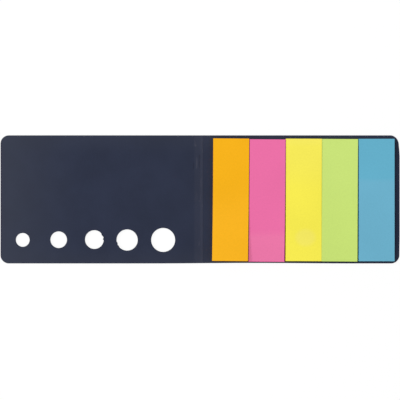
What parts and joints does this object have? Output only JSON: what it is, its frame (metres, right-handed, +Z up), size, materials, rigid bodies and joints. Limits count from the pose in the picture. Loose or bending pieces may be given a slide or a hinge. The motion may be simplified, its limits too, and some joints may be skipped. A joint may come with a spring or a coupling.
{
  "type": "memo pad set",
  "caption": "Pads of narrow sticky page markers in bright colours, side by side in a creased dark card cover that folds shut like a book and shows each colour through a round window.",
  "frame": {"origin": "middle of the bounding box at its bottom: the cover's outer face, half way along and half way up the open cover", "axes": "+X across the open cover from the front panel to the pads, +Y up the panels towards the gummed ends of the pads, +Z up from the surface that the open set lies on"},
  "size_m": [0.1636, 0.0524, 0.0037],
  "materials": {
    "cover_card": "satin dyed card",
    "orange_paper": "matte",
    "pink_paper": "matte",
    "yellow_paper": "matte",
    "green_paper": "matte",
    "blue_paper": "matte"
  },
  "bodies": {
    "back_cover": {"back_cover": "cover_card", "orange_pad": "orange_paper", "pink_pad": "pink_paper", "yellow_pad": "yellow_paper", "green_pad": "green_paper", "blue_pad": "blue_paper"},
    "spine": {"spine": "cover_card"},
    "front_cover": {"front_cover": "cover_card"}
  },
  "joints": [
    {"name": "rear_crease", "type": "hinge", "parent": "back_cover", "child": "spine", "pos_m": [0.00104, 0, 0.00052], "axis": [0, 1, 0], "range_deg": [0, 90]},
    {"name": "front_crease", "type": "hinge", "parent": "spine", "child": "front_cover", "pos_m": [-0.00211, 0, 0.00052], "axis": [0, 1, 0], "range_deg": [0, 90]}
  ]
}
